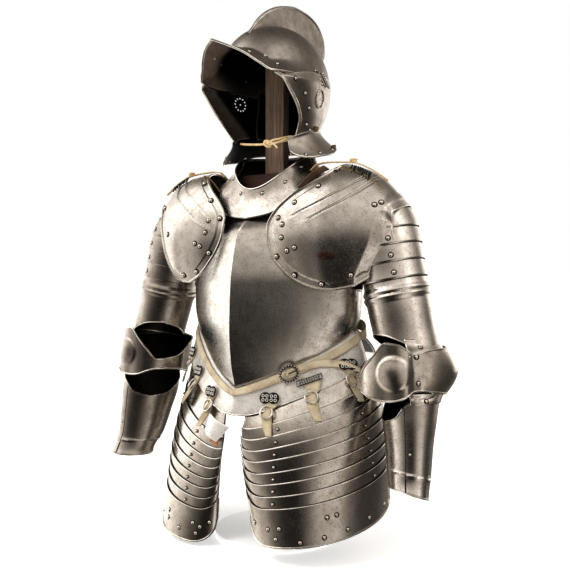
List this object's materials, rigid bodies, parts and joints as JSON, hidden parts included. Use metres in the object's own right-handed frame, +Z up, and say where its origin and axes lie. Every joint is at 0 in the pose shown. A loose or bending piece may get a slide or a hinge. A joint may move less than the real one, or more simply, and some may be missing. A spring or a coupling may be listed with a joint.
{
  "type": "half armour on a wooden display stand",
  "caption": "Half armour of polished plate with an open burgonet helmet, laminated tassets and articulated arms, shown on a wooden stand.",
  "frame": {"origin": "centre of the whole part's box in X and Y, at the floor", "axes": "+Z up, the armour faces -Y, the wearer's left side is +X"},
  "size_m": [0.7726, 0.3863, 1.0765],
  "materials": {
    "plate_steel": "hammered and polished plate, worn and patinated",
    "buff_leather": "matt buff leather",
    "lace_leather": "golden tan leather lace",
    "post_wood": "plain planed softwood, brown",
    "board_wood": "plain planed board, red brown",
    "base_paint": "matt off-white paint on a steel disc"
  },
  "bodies": {
    "root": {"helmet_skull": "plate_steel", "helmet_comb": "plate_steel", "helmet_nape": "plate_steel", "helmet_neck_guard": "plate_steel", "collar_front": "plate_steel", "collar_back": "plate_steel", "breastplate": "plate_steel", "backplate": "plate_steel", "fauld": "plate_steel", "chin_lace": "lace_leather", "waist_belt": "buff_leather", "cheek_piece_left": "plate_steel", "pauldron_left": "plate_steel", "upper_cannon_left": "plate_steel", "elbow_left": "plate_steel", "lower_cannon_left": "plate_steel", "shoulder_lame_left_1": "plate_steel", "shoulder_lame_left_2": "plate_steel", "shoulder_lame_left_3": "plate_steel", "shoulder_lame_left_4": "plate_steel", "tasset_left_1": "plate_steel", "tasset_left_2": "plate_steel", "tasset_left_3": "plate_steel", "tasset_left_4": "plate_steel", "tasset_left_5": "plate_steel", "tasset_left_6": "plate_steel", "tasset_left_7": "plate_steel", "tasset_left_8": "plate_steel", "tasset_left_9": "plate_steel", "tasset_strap_left_1": "buff_leather", "tasset_strap_left_2": "buff_leather", "tasset_strap_left_3": "buff_leather", "shoulder_strap_left": "lace_leather", "cheek_piece_right": "plate_steel", "pauldron_right": "plate_steel", "upper_cannon_right": "plate_steel", "elbow_right": "plate_steel", "lower_cannon_right": "plate_steel", "shoulder_lame_right_1": "plate_steel", "shoulder_lame_right_2": "plate_steel", "shoulder_lame_right_3": "plate_steel", "shoulder_lame_right_4": "plate_steel", "tasset_right_1": "plate_steel", "tasset_right_2": "plate_steel", "tasset_right_3": "plate_steel", "tasset_right_4": "plate_steel", "tasset_right_5": "plate_steel", "tasset_right_6": "plate_steel", "tasset_right_7": "plate_steel", "tasset_right_8": "plate_steel", "tasset_right_9": "plate_steel", "tasset_strap_right_1": "buff_leather", "tasset_strap_right_2": "buff_leather", "tasset_strap_right_3": "buff_leather", "shoulder_strap_right": "lace_leather", "stand_post": "post_wood", "stand_crossboard": "board_wood", "stand_base": "base_paint"}
  },
  "joints": []
}
